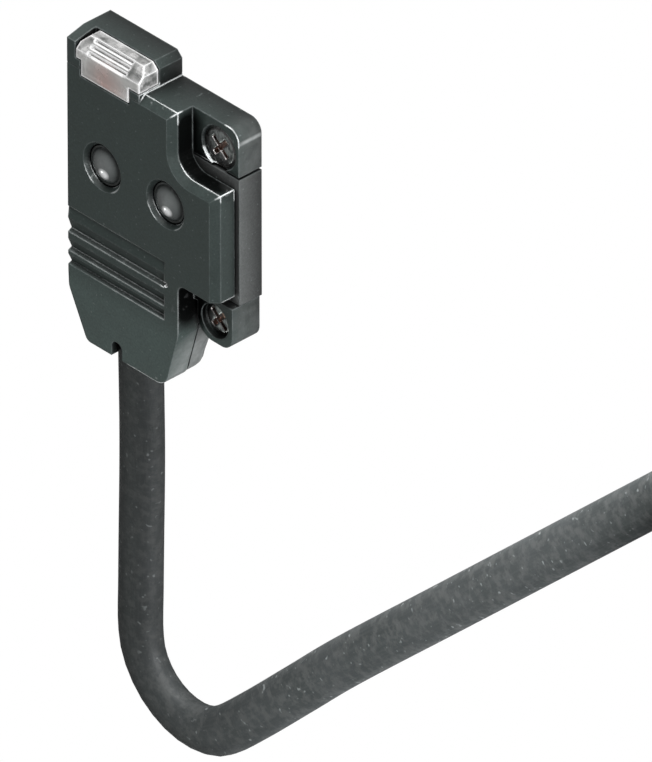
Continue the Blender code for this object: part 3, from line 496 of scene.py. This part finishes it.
def moulded_group(edge):
    """Matte moulded plastic: fine grain, cloudy tone, pale specks and edges with painted highlights.

    Glint paints highlights onto edges, Hollow paints shade onto walls and sunk faces, Pale paints a sheen
    onto walls and Lift scales the tone. Ambient occlusion paints shade into corners, down to a factor of
    Shelter.
    """
    tree, given, result = new_group(
        "moulded_skin",
        [
            ("Colour", "Color", (0.04, 0.05, 0.05, 1.0)),
            ("Roughness", "Float", 0.55),
            ("Grain", "Float", 0.35),
            ("Specks", "Float", 0.5),
            ("Edge Light", "Float", 0.5),
            ("Glint", "Float", 0.0),
            ("Hollow", "Float", 0.0),
            ("Pale", "Float", 0.0),
            ("Lift", "Float", 1.0),
            ("Shelter", "Float", 0.1),
        ],
        [("Colour", "Color"), ("Roughness", "Float"), ("Gloss", "Float"), ("Normal", "Vector")],
    )
    where = object_place(tree)
    edges = add_node(tree, "ShaderNodeGroup", node_tree=edge).outputs
    grain = noise(tree, where, 7500.0, 3.0, 0.6)
    cloud = noise(tree, where, 420.0, 3.0, 0.55)
    highlight_breakup = noise(tree, where, 1600.0, 2.0, 0.6)
    specks = noise(tree, where, 4300.0, 1.0, 0.4)
    # Ambient occlusion paints shade into corners and creases of the tone.
    shelter = add_node(tree, "ShaderNodeAmbientOcclusion", {"Distance": 0.0030}, samples=8).outputs["AO"]
    occlusion_shade = ramp(tree, shelter, 0.45, 0.95, given["Shelter"], 1.0)
    # Painted shade, where Hollow asks for it, on walls and on faces sunk below the front.
    upright = ramp(tree, axis(tree, surface_normal(tree), "Z"), 0.35, 0.15)
    below_face = ramp(tree, axis(tree, where, "Z"), (FACE - 0.5) * MM, (FACE - 0.7) * MM)
    hollow = times(tree, maths(tree, "MAXIMUM", upright, below_face), given["Hollow"])
    open_share = maths(tree, "SUBTRACT", 1.0, hollow)

    tone = times(tree, spread(tree, cloud, 0.88, 1.12), spread(tree, grain, 0.80, 1.20), occlusion_shade)
    colour = vectors(tree, "SCALE", given["Colour"], scale=times(tree, tone, given["Lift"], open_share))
    # Painted sheen on walls, where Pale asks for it.
    painted_sheen_mask = times(tree, upright, given["Pale"], spread(tree, highlight_breakup, 0.5, 1.0))
    colour = blend_colour(tree, painted_sheen_mask, colour, (0.34, 0.355, 0.35, 1.0))
    speck_mask = times(tree, ramp(tree, specks, 0.70, 0.80), given["Specks"], open_share)
    colour = blend_colour(tree, speck_mask, colour, (0.24, 0.27, 0.27, 1.0))
    # Painted highlights on all edges, then strong painted glints where Glint asks for them.
    edge_mask = times(tree, edges["Edge"], ramp(tree, highlight_breakup, 0.35, 0.65, 0.35, 1.0), given["Edge Light"])
    colour = blend_colour(tree, edge_mask, colour, (0.26, 0.29, 0.29, 1.0))
    broken_edge = maths(tree, "ADD", edges["Edge"], spread(tree, highlight_breakup, -0.3, 0.1))
    glint_mask = times(tree, ramp(tree, broken_edge, 0.05, 0.4), given["Glint"])
    colour = blend_colour(tree, glint_mask, colour, (0.92, 0.95, 0.95, 1.0))

    rough = times(tree, given["Roughness"], spread(tree, cloud, 0.92, 1.08))
    plug(tree, result["Colour"], colour)
    plug(tree, result["Roughness"], maths(tree, "SUBTRACT", rough, times(tree, edge_mask, 0.2)))
    plug(tree, result["Gloss"], ramp(tree, open_share, 0.0, 1.0, 0.05, 0.5))
    plug(tree, result["Normal"], bump(tree, grain, given["Grain"], 0.00003, edges["Normal"]))
    return tree


def blank(name):
    material = bpy.data.materials.new(name)
    material.use_nodes = True
    return material, material.node_tree, material.node_tree.nodes["Principled BSDF"]


def off_line(tree, where, start, end):
    """How far a point is from the line between two places given in millimetres."""
    start = Vector(start) * MM
    reach = Vector(end) * MM - start
    from_start = vectors(tree, "SUBTRACT", where, start)
    if reach.length == 0:
        return vectors(tree, "LENGTH", from_start)
    share = ramp(tree, vectors(tree, "DOT_PRODUCT", from_start, reach), 0.0, reach.length_squared)
    return vectors(tree, "DISTANCE", from_start, vectors(tree, "SCALE", reach, scale=share))


def marked(tree, where, places, soft):
    """The strongest of several marks, each given as (start, end, reach, strength).

    Soft is the share of the reach over which a mark fades out.
    """
    total = 0.0
    for start, end, reach, strength in places:
        away = off_line(tree, where, start, end)
        fading = ramp(tree, away, (1.0 - soft) * reach * MM, reach * MM, 1.0, 0.0)
        total = maths(tree, "MAXIMUM", total, times(tree, fading, strength))
    return total


def plug_skin(tree, shader, colour, roughness, normal):
    plug(tree, shader.inputs["Base Color"], colour)
    plug(tree, shader.inputs["Roughness"], roughness)
    plug(tree, shader.inputs["Normal"], normal)


def moulded(name, colour, roughness, grain, specks, edge_light, marks=None):
    """A material of moulded plastic in one colour.

    The marks are its painted highlights on edges, painted shade in hollows and painted sheen on walls, and
    how its tone lifts along Y.
    """
    material, tree, shader = blank(name)
    sockets = {
        "Colour": (*colour, 1.0),
        "Roughness": roughness,
        "Grain": grain,
        "Specks": specks,
        "Edge Light": edge_light,
    }
    skin = add_node(tree, "ShaderNodeGroup", sockets, node_tree=MOULDED)
    if marks:
        where = object_place(tree)
        for socket, soft in (("Glint", 0.35), ("Hollow", 0.5), ("Pale", 0.8)):
            plug(tree, skin.inputs[socket], marked(tree, where, marks[socket], soft))
        high, low, lift = marks["Lift"]
        plug(tree, skin.inputs["Lift"], ramp(tree, axis(tree, where, "Y"), high * MM, low * MM, 1.0, lift))
        plug(tree, shader.inputs["Specular IOR Level"], skin.outputs["Gloss"])
    plug_skin(tree, shader, skin.outputs["Colour"], skin.outputs["Roughness"], skin.outputs["Normal"])
    return material


def vinyl(name):
    """The lead's sheath: matte, faintly drawn along its length, with pale specks.

    It has painted shade up to the bend and painted light well past it: darkest up to the bend and palest
    well past it, by the millimetres walked along the lead.
    """
    material, tree, shader = blank(name)
    along = add_node(tree, "ShaderNodeUVMap", uv_map="along").outputs["UV"]
    place = object_place(tree)
    lines = noise(tree, stretched(tree, along, (60.0, 0.35, 1.0)), 1.0)
    cloud = noise(tree, place, 260.0)
    grain = noise(tree, place, 7000.0, 2.0, 0.6)
    specks = noise(tree, place, 2500.0, 1.0, 0.4)
    mottle = noise(tree, place, 1500.0, 3.0, 0.65)
    tone = blend_colour(tree, spread(tree, cloud), (0.076, 0.086, 0.086, 1.0), (0.096, 0.106, 0.108, 1.0))
    for pattern, low, high, share, colour in (
        (mottle, 0.45, 0.62, 0.8, (0.150, 0.158, 0.156, 1.0)),
        (lines, 0.45, 0.70, 0.3, (0.138, 0.150, 0.152, 1.0)),
        (specks, 0.69, 0.77, 0.8, (0.40, 0.43, 0.43, 1.0)),
    ):
        tone = blend_colour(tree, ramp(tree, pattern, low, high, 0.0, share), tone, colour)
    walked = axis(tree, along, "Y")
    # Painted shade up to the bend and painted light past it.
    shade_before_bend = ramp(tree, walked, 26.0, 42.0, 0.36, 1.0)
    light_past_bend = ramp(tree, walked, 42.0, 75.0, 1.0, 1.5)
    tone = vectors(tree, "SCALE", tone, scale=times(tree, shade_before_bend, light_past_bend))
    rough_skin = maths(tree, "ADD", grain, times(tree, lines, 0.6))
    plug_skin(tree, shader, tone, spread(tree, grain, 0.52, 0.68), bump(tree, rough_skin, 0.3, 0.00003))
    return material


def clear_window(name, lamp, shine):
    """The indicator window: clear moulding, cloudy inside, with a faint red lamp behind its lip.

    Its front faces carry a painted sheen and its edges painted highlights, and a little emission on its
    edges and along the shine line stands for the light that it gathers.
    """
    material, tree, shader = blank(name)
    place = object_place(tree)
    edges = add_node(tree, "ShaderNodeGroup", {"Radius": 0.00026}, node_tree=EDGE).outputs
    cloud = noise(tree, place, 900.0, 3.0, 0.6)
    streak = noise(tree, stretched(tree, place, (0.25, 1.0, 1.0)), 2600.0)
    clear = ramp(tree, cloud, 0.35, 0.65)
    body = blend_colour(tree, clear, (0.12, 0.125, 0.12, 1.0), (0.72, 0.715, 0.71, 1.0))
    body = blend_colour(tree, ramp(tree, streak, 0.50, 0.66, 0.0, 0.75), body, (0.10, 0.105, 0.10, 1.0))
    # A painted sheen on faces that look to the front.
    front_sheen = ramp(tree, axis(tree, surface_normal(tree), "Z"), 0.85, 0.95, 0.0, 0.6)
    body = blend_colour(tree, front_sheen, body, (1.0, 0.99, 0.96, 1.0))
    lamp_glow = marked(tree, place, [(lamp, lamp, 1.9, 1.0)], 1.0)
    warm = times(tree, lamp_glow, spread(tree, cloud, 0.3, 0.75))
    body = blend_colour(tree, warm, body, (0.62, 0.25, 0.19, 1.0))
    # Painted highlights on the edges.
    body = blend_colour(tree, edges["Edge"], body, WHITE)
    gathered = maths(tree, "MAXIMUM", marked(tree, place, [shine], 0.6), times(tree, edges["Edge"], 0.5))
    plug(tree, shader.inputs["Emission Color"], times(tree, gathered, 0.6))
    shader.inputs["Emission Strength"].default_value = 1.0
    shader.inputs["IOR"].default_value = 1.49
    shader.inputs["Transmission Weight"].default_value = 0.35
    shader.inputs["Coat Weight"].default_value = 0.15
    normal = bump(tree, cloud, 0.12, 0.00005, edges["Normal"])
    plug_skin(tree, shader, body, spread(tree, cloud, 0.18, 0.32), normal)
    return material


def lens_plastic(name, node):
    """The smoky optics: polished, dark toward the rim, with a painted halo and a painted highlight in the
    middle and thin painted bright arcs at the rim.
    """
    material, tree, shader = blank(name)
    low, high = (Vector(corner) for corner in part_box(node))
    centre = (low + high) / 2
    radius = (high.x - low.x) / 2
    place = object_place(tree)
    cloud = noise(tree, place, 1500.0, 3.0, 0.6)
    across = vectors(tree, "MULTIPLY", vectors(tree, "SUBTRACT", place, centre), (1.0, 1.0, 0.0))
    out = vectors(tree, "LENGTH", across)
    # A painted halo lightens the middle; toward the rim the lens keeps its dark smoky tone.
    to_rim = ramp(tree, out, 0.15 * radius, 0.8 * radius)
    body = blend_colour(tree, to_rim, (0.16, 0.17, 0.168, 1.0), (0.022, 0.028, 0.027, 1.0))
    body = blend_colour(tree, ramp(tree, cloud, 0.45, 0.65, 0.0, 0.5), body, (0.09, 0.095, 0.095, 1.0))
    # A painted highlight spot a little right of and below the middle.
    core = centre / MM + Vector((0.12 * radius, -0.18 * radius, 0.0)) / MM
    core.z = FACE
    glow = marked(tree, place, [(core, core, 0.26 * radius / MM, 1.0)], 0.5)
    body = blend_colour(tree, glow, body, WHITE)
    # Painted highlights as thin bright arcs on the lower left and lower right of the rim.
    rim = ramp(tree, out, 0.80 * radius, 0.87 * radius)
    broken_rim = times(tree, rim, ramp(tree, cloud, 0.35, 0.6, 0.3, 1.0))
    for way in ((-0.85, -0.53, 0.0), (0.70, -0.71, 0.0)):
        toward = vectors(tree, "DOT_PRODUCT", across, way)
        rim_highlight = times(tree, broken_rim, ramp(tree, toward, 0.68 * radius, 0.86 * radius))
        body = blend_colour(tree, rim_highlight, body, (0.90, 0.92, 0.92, 1.0))
    shader.inputs["IOR"].default_value = 1.5
    shader.inputs["Coat Weight"].default_value = 0.6
    shader.inputs["Coat Roughness"].default_value = 0.05
    plug_skin(tree, shader, body, spread(tree, cloud, 0.06, 0.20), bump(tree, cloud, 0.10, 0.00006))
    return material


def screw_metal(name, node):
    """Dark plated steel, brown in the bottom of its cross, with fine scratches and painted highlights on its
    edges.
    """
    material, tree, shader = blank(name)
    head_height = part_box(node)[1][2] / MM
    place = object_place(tree)
    edges = add_node(tree, "ShaderNodeGroup", node_tree=EDGE).outputs
    cloud = noise(tree, place, 2200.0, 3.0, 0.6)
    scratch = noise(tree, stretched(tree, place, (1.0, 0.2, 1.0)), 9000.0)
    up = ramp(tree, axis(tree, place, "Z"), (head_height - 0.42) * MM, (head_height - 0.05) * MM)
    body = blend_colour(tree, up, (0.70, 0.46, 0.38, 1.0), (0.34, 0.345, 0.345, 1.0))
    body = blend_colour(tree, ramp(tree, cloud, 0.45, 0.65, 0.0, 0.7), body, (0.020, 0.020, 0.020, 1.0))
    # Painted highlights on the edges.
    body = blend_colour(tree, edges["Edge"], body, (0.80, 0.76, 0.74, 1.0))
    shader.inputs["Metallic"].default_value = 1.0
    normal = bump(tree, scratch, 0.25, 0.00003, edges["Normal"])
    plug_skin(tree, shader, body, spread(tree, scratch, 0.22, 0.42), normal)
    return material


def board_lacquer(name):
    """Green solder mask over lighter tracks."""
    material, tree, shader = blank(name)
    place = object_place(tree)
    black = (0.0, 0.0, 0.0, 1.0)
    sockets = {"Vector": place, "Scale": 900.0, "Mortar Size": 0.06, "Mortar": WHITE}
    sockets |= {"Color1": black, "Color2": black}
    tracks = add_node(tree, "ShaderNodeTexBrick", sockets).outputs["Color"]
    cloud = noise(tree, place, 900.0)
    body = blend_colour(tree, spread(tree, cloud), (0.020, 0.105, 0.050, 1.0), (0.030, 0.140, 0.065, 1.0))
    body = blend_colour(tree, tracks, body, (0.060, 0.250, 0.110, 1.0))
    plug_skin(tree, shader, body, spread(tree, cloud, 0.28, 0.42), bump(tree, tracks, 0.4, 0.00002))
    return material


def plain_plastic(name, colour, roughness, scale=2500.0, transmission=0.0):
    """A small plastic, resin or ceramic piece with cloudy tone and a faint skin."""
    material, tree, shader = blank(name)
    cloud = noise(tree, object_place(tree), scale, 3.0, 0.6)
    dark = (*(0.82 * c for c in colour), 1.0)
    light = (*(min(1.0, 1.18 * c) for c in colour), 1.0)
    body = blend_colour(tree, spread(tree, cloud), dark, light)
    shader.inputs["Transmission Weight"].default_value = transmission
    rough = spread(tree, cloud, 0.85 * roughness, 1.15 * roughness)
    plug_skin(tree, shader, body, rough, bump(tree, cloud, 0.2, 0.00003))
    return material


def stranded(name):
    """Tinned strands twisted round the conductor's own line, which lies near the X axis."""
    material, tree, shader = blank(name)
    place = object_place(tree)
    turned = {"Vector": place, "Rotation": (0.0, 0.0, radians(28))}
    twist = add_node(tree, "ShaderNodeMapping", turned).outputs["Vector"]
    strands = {"Vector": twist, "Scale": 1900.0, "Distortion": 0.6}
    wave = add_node(tree, "ShaderNodeTexWave", strands, bands_direction="Y").outputs["Fac"]
    cloud = noise(tree, place, 3000.0)
    bright = ramp(tree, cloud, 0.35, 0.65)
    body = blend_colour(tree, bright, (0.66, 0.60, 0.53, 1.0), (0.80, 0.72, 0.62, 1.0))
    # Painted shade in the grooves between the strands.
    body = blend_colour(tree, ramp(tree, wave, 0.0, 0.35, 0.7, 0.0), body, (0.16, 0.13, 0.11, 1.0))
    shader.inputs["Metallic"].default_value = 1.0
    plug_skin(tree, shader, body, spread(tree, cloud, 0.22, 0.38), bump(tree, wave, 0.8, 0.00006))
    return material


def dress(materials):
    for name, material in materials.items():
        bpy.data.objects[name].material_slots[0].material = material


# Stage

def stage_floor():
    """A floor that is plain white to the camera and pale grey to the light round the part."""
    material = bpy.data.materials.new("pale_floor")
    material.use_nodes = True
    tree = material.node_tree
    tree.nodes.clear()
    out = tree.nodes.new("ShaderNodeOutputMaterial")
    rays = add_node(tree, "ShaderNodeLightPath")
    plain = add_node(tree, "ShaderNodeBsdfDiffuse", {"Color": (0.8, 0.8, 0.8, 1.0)})
    pale = add_node(tree, "ShaderNodeEmission", {"Color": WHITE, "Strength": 1.0})
    mix = tree.nodes.new("ShaderNodeMixShader")
    tree.links.new(rays.outputs["Is Camera Ray"], mix.inputs["Fac"])
    tree.links.new(plain.outputs["BSDF"], mix.inputs[1])
    tree.links.new(pale.outputs["Emission"], mix.inputs[2])
    tree.links.new(mix.outputs["Shader"], out.inputs["Surface"])
    bm = bmesh.new()
    bmesh.ops.create_grid(bm, x_segments=1, y_segments=1, size=1.5)
    mesh = bpy.data.meshes.new("floor")
    bm.to_mesh(mesh)
    bm.free()
    floor = bpy.data.objects.new("floor", mesh)
    floor.data.materials.append(material)
    bpy.context.scene.collection.objects.link(floor)


def area_light(name, place, size, power, colour):
    """A square light that points at the part."""
    data = bpy.data.lights.new(name, "AREA")
    data.shape = "SQUARE"
    data.size = size
    data.energy = power
    data.color = colour
    light = bpy.data.objects.new(name, data)
    light.location = place
    light.rotation_euler = (-Vector(place)).to_track_quat("-Z", "Y").to_euler()
    bpy.context.scene.collection.objects.link(light)


def add_lights():
    """Three lights, and a world that is white to the camera and dim to the part."""
    area_light("right_light", (0.34, 0.03, 0.06), 0.20, 1.85, (0.98, 0.99, 1.0))
    area_light("top_light", (0.02, 0.36, 0.06), 0.20, 1.9, (1.0, 1.0, 1.0))
    area_light("face_light", (-0.206, -0.281, 0.234), 0.045, 0.09, (0.90, 1.0, 0.96))
    world = bpy.data.worlds.new("studio")
    world.use_nodes = True
    tree = world.node_tree
    sky = tree.nodes["Background"]
    sky.inputs["Color"].default_value = WHITE
    seen = add_node(tree, "ShaderNodeLightPath").outputs["Is Camera Ray"]
    plug(tree, sky.inputs["Strength"], ramp(tree, seen, 0.0, 1.0, 0.13, 1.0))
    bpy.context.scene.world = world


# The dressed model

bpy.context.scene.view_settings.view_transform = "Standard"
add_camera()

EDGE = edge_group()
MOULDED = moulded_group(EDGE)
LAMP = (middle("indicator_window").x - 0.2, TOP - 0.5, FACE)
WINDOW_SHINE = ((-4.3, TOP + 0.87, FACE), (-1.8, TOP + 0.84, FACE), 0.20, 0.9)

# Where the housing shines, lies dark or looks pale in the photograph, as painted highlights (Glint), painted
# shade (Hollow) and painted sheen (Pale): (start, end, reach, strength).
# Lift gives the two heights between which the tone changes, and its factor below them.
CASE_MARKS = {
    "Glint": [
        ((-0.2, TOP, 3.0), (2.5, TOP - 0.1, 3.0), 0.45, 0.8),
        ((-0.3, TOP, 0.2), (-0.3, TOP, 3.2), 0.35, 0.6),
        ((2.5, TOP - 0.2, 3.0), (2.5, TOP - 0.5, 3.0), 0.40, 1.0),
        ((3.1, TOP - 3.5, 3.0), (3.8, TOP - 4.1, 3.0), 0.40, 1.0),
        ((3.8, TOP - 4.1, 3.0), (6.2, TOP - 4.1, 3.0), 0.40, 0.9),
        ((6.2, TOP - 4.2, 2.9), (6.2, TOP - 4.5, 1.9), 0.45, 1.0),
        ((5.6, TOP - 0.2, 1.85), (6.4, TOP - 0.8, 1.85), 0.40, 1.0),
        ((3.6, TOP - 2.8, 1.85), (4.5, TOP - 3.2, 1.85), 0.50, 0.8),
        ((1.8, TOP - 12.3, 3.45), (1.8, TOP - 12.3, 3.45), 0.45, 1.0),
        ((-5.0, TOP - 11.6, FACE), (1.0, TOP - 13.4, FACE), 3.0, 0.2),
        ((6.2, TOP - 11.6, 2.6), (6.2, TOP - 12.0, 1.8), 0.40, 0.7),
        ((-1.0, TOP - 19.4, 3.5), (1.4, TOP - 19.4, 3.5), 0.50, 1.0),
    ],
    "Hollow": [
        ((2.6, TOP - 1.1, 2.4), (2.6, TOP - 3.0, 2.4), 1.15, 0.92),
        ((3.1, TOP - 3.5, 2.2), (5.3, TOP - 3.9, 2.2), 1.3, 0.92),
        ((3.7, TOP - 2.6, 1.9), (3.7, TOP - 2.6, 1.9), 1.9, 0.75),
        ((3.0, TOP - 12.6, 2.9), (3.2, TOP - 13.7, 2.6), 1.6, 0.95),
    ],
    "Pale": [
        ((1.7, TOP - 17.2, 1.7), (1.2, TOP - 19.2, 2.2), 2.4, 0.9),
        ((6.5, TOP - 0.9, 0.1), (6.5, TOP - 0.9, 1.8), 0.22, 1.0),
        ((6.5, TOP - 1.4, 0.9), (6.5, TOP - 3.0, 0.9), 2.2, 0.22),
        ((6.4, TOP - 13.4, 0.9), (6.0, TOP - 15.6, 0.9), 2.4, 0.22),
    ],
    "Lift": (TOP - 13.5, TOP - 16.0, 2.1),
}
# The cover's painted sheen on the boot's side, and its tone's lift along Y.
COVER_MARKS = {
    "Glint": [],
    "Hollow": [],
    "Pale": [((1.7, TOP - 17.2, 1.2), (1.2, TOP - 19.2, 1.2), 2.4, 0.9)],
    "Lift": (TOP - 13.5, TOP - 16.0, 1.1),
}
# Painted highlights on the rims of both lens bores, below them to either side.
for lens in ("emitter_lens", "receiver_lens"):
    lens_middle = middle(lens)
    for x_off, y_off, strength in ((1.1, -0.9, 0.45), (-1.1, -0.9, 0.6)):
        rim_place = (lens_middle.x + x_off, lens_middle.y + y_off, FACE)
        CASE_MARKS["Glint"].append((rim_place, rim_place, 0.7, strength))

RESIN = moulded("chip_resin", (0.020, 0.020, 0.021), 0.42, 0.5, 0.1, 0.15)
CERAMIC = plain_plastic("ceramic_body", (0.50, 0.38, 0.25), 0.45)
AMBER = plain_plastic("lamp_resin", (0.80, 0.34, 0.14), 0.2, transmission=0.4)
TIE = plain_plastic("tie_nylon", (0.018, 0.018, 0.019), 0.42, 1200.0)
TINNED = stranded("tinned_strands")

dress(
    {
        "front_case": moulded("case_moulding", (0.028, 0.040, 0.037), 0.50, 0.35, 0.30, 0.45, CASE_MARKS),
        "rear_cover": moulded("cover_moulding", (0.125, 0.132, 0.130), 0.56, 0.40, 0.45, 0.3, COVER_MARKS),
        "indicator_window": clear_window("window_moulding", LAMP, WINDOW_SHINE),
        "emitter_lens": lens_plastic("emitter_optic", "emitter_lens"),
        "receiver_lens": lens_plastic("receiver_optic", "receiver_lens"),
        "upper_screw": screw_metal("upper_screw_steel", "upper_screw"),
        "lower_screw": screw_metal("lower_screw_steel", "lower_screw"),
        "circuit_board": board_lacquer("board_lacquer"),
        "emitter_led": AMBER,
        "indicator_led": AMBER,
        "receiver_chip": RESIN,
        "light_shield": RESIN,
        "control_chip": RESIN,
        "output_transistor": RESIN,
        "emitter_resistor": RESIN,
        "indicator_resistor": RESIN,
        "supply_capacitor": CERAMIC,
        "filter_capacitor": CERAMIC,
    }
)
CORES = {"brown": (0.14, 0.055, 0.022), "black": (0.014, 0.014, 0.015), "blue": (0.020, 0.075, 0.36)}
for colour, tone in CORES.items():
    insulation = plain_plastic(f"{colour}_insulation", tone, 0.38, 1500.0)
    dress({f"{colour}_core_inner": insulation, f"{colour}_core_tail": insulation})
    dress({f"{colour}_conductor_tip": TINNED})

sheath, path = add_lead(vinyl("sheath_vinyl"))
on_lead = add_tie(TIE)
for colour in CORES:
    on_lead += [bpy.data.objects[f"{colour}_core_tail"], bpy.data.objects[f"{colour}_conductor_tip"]]
stage_floor()
add_lights()
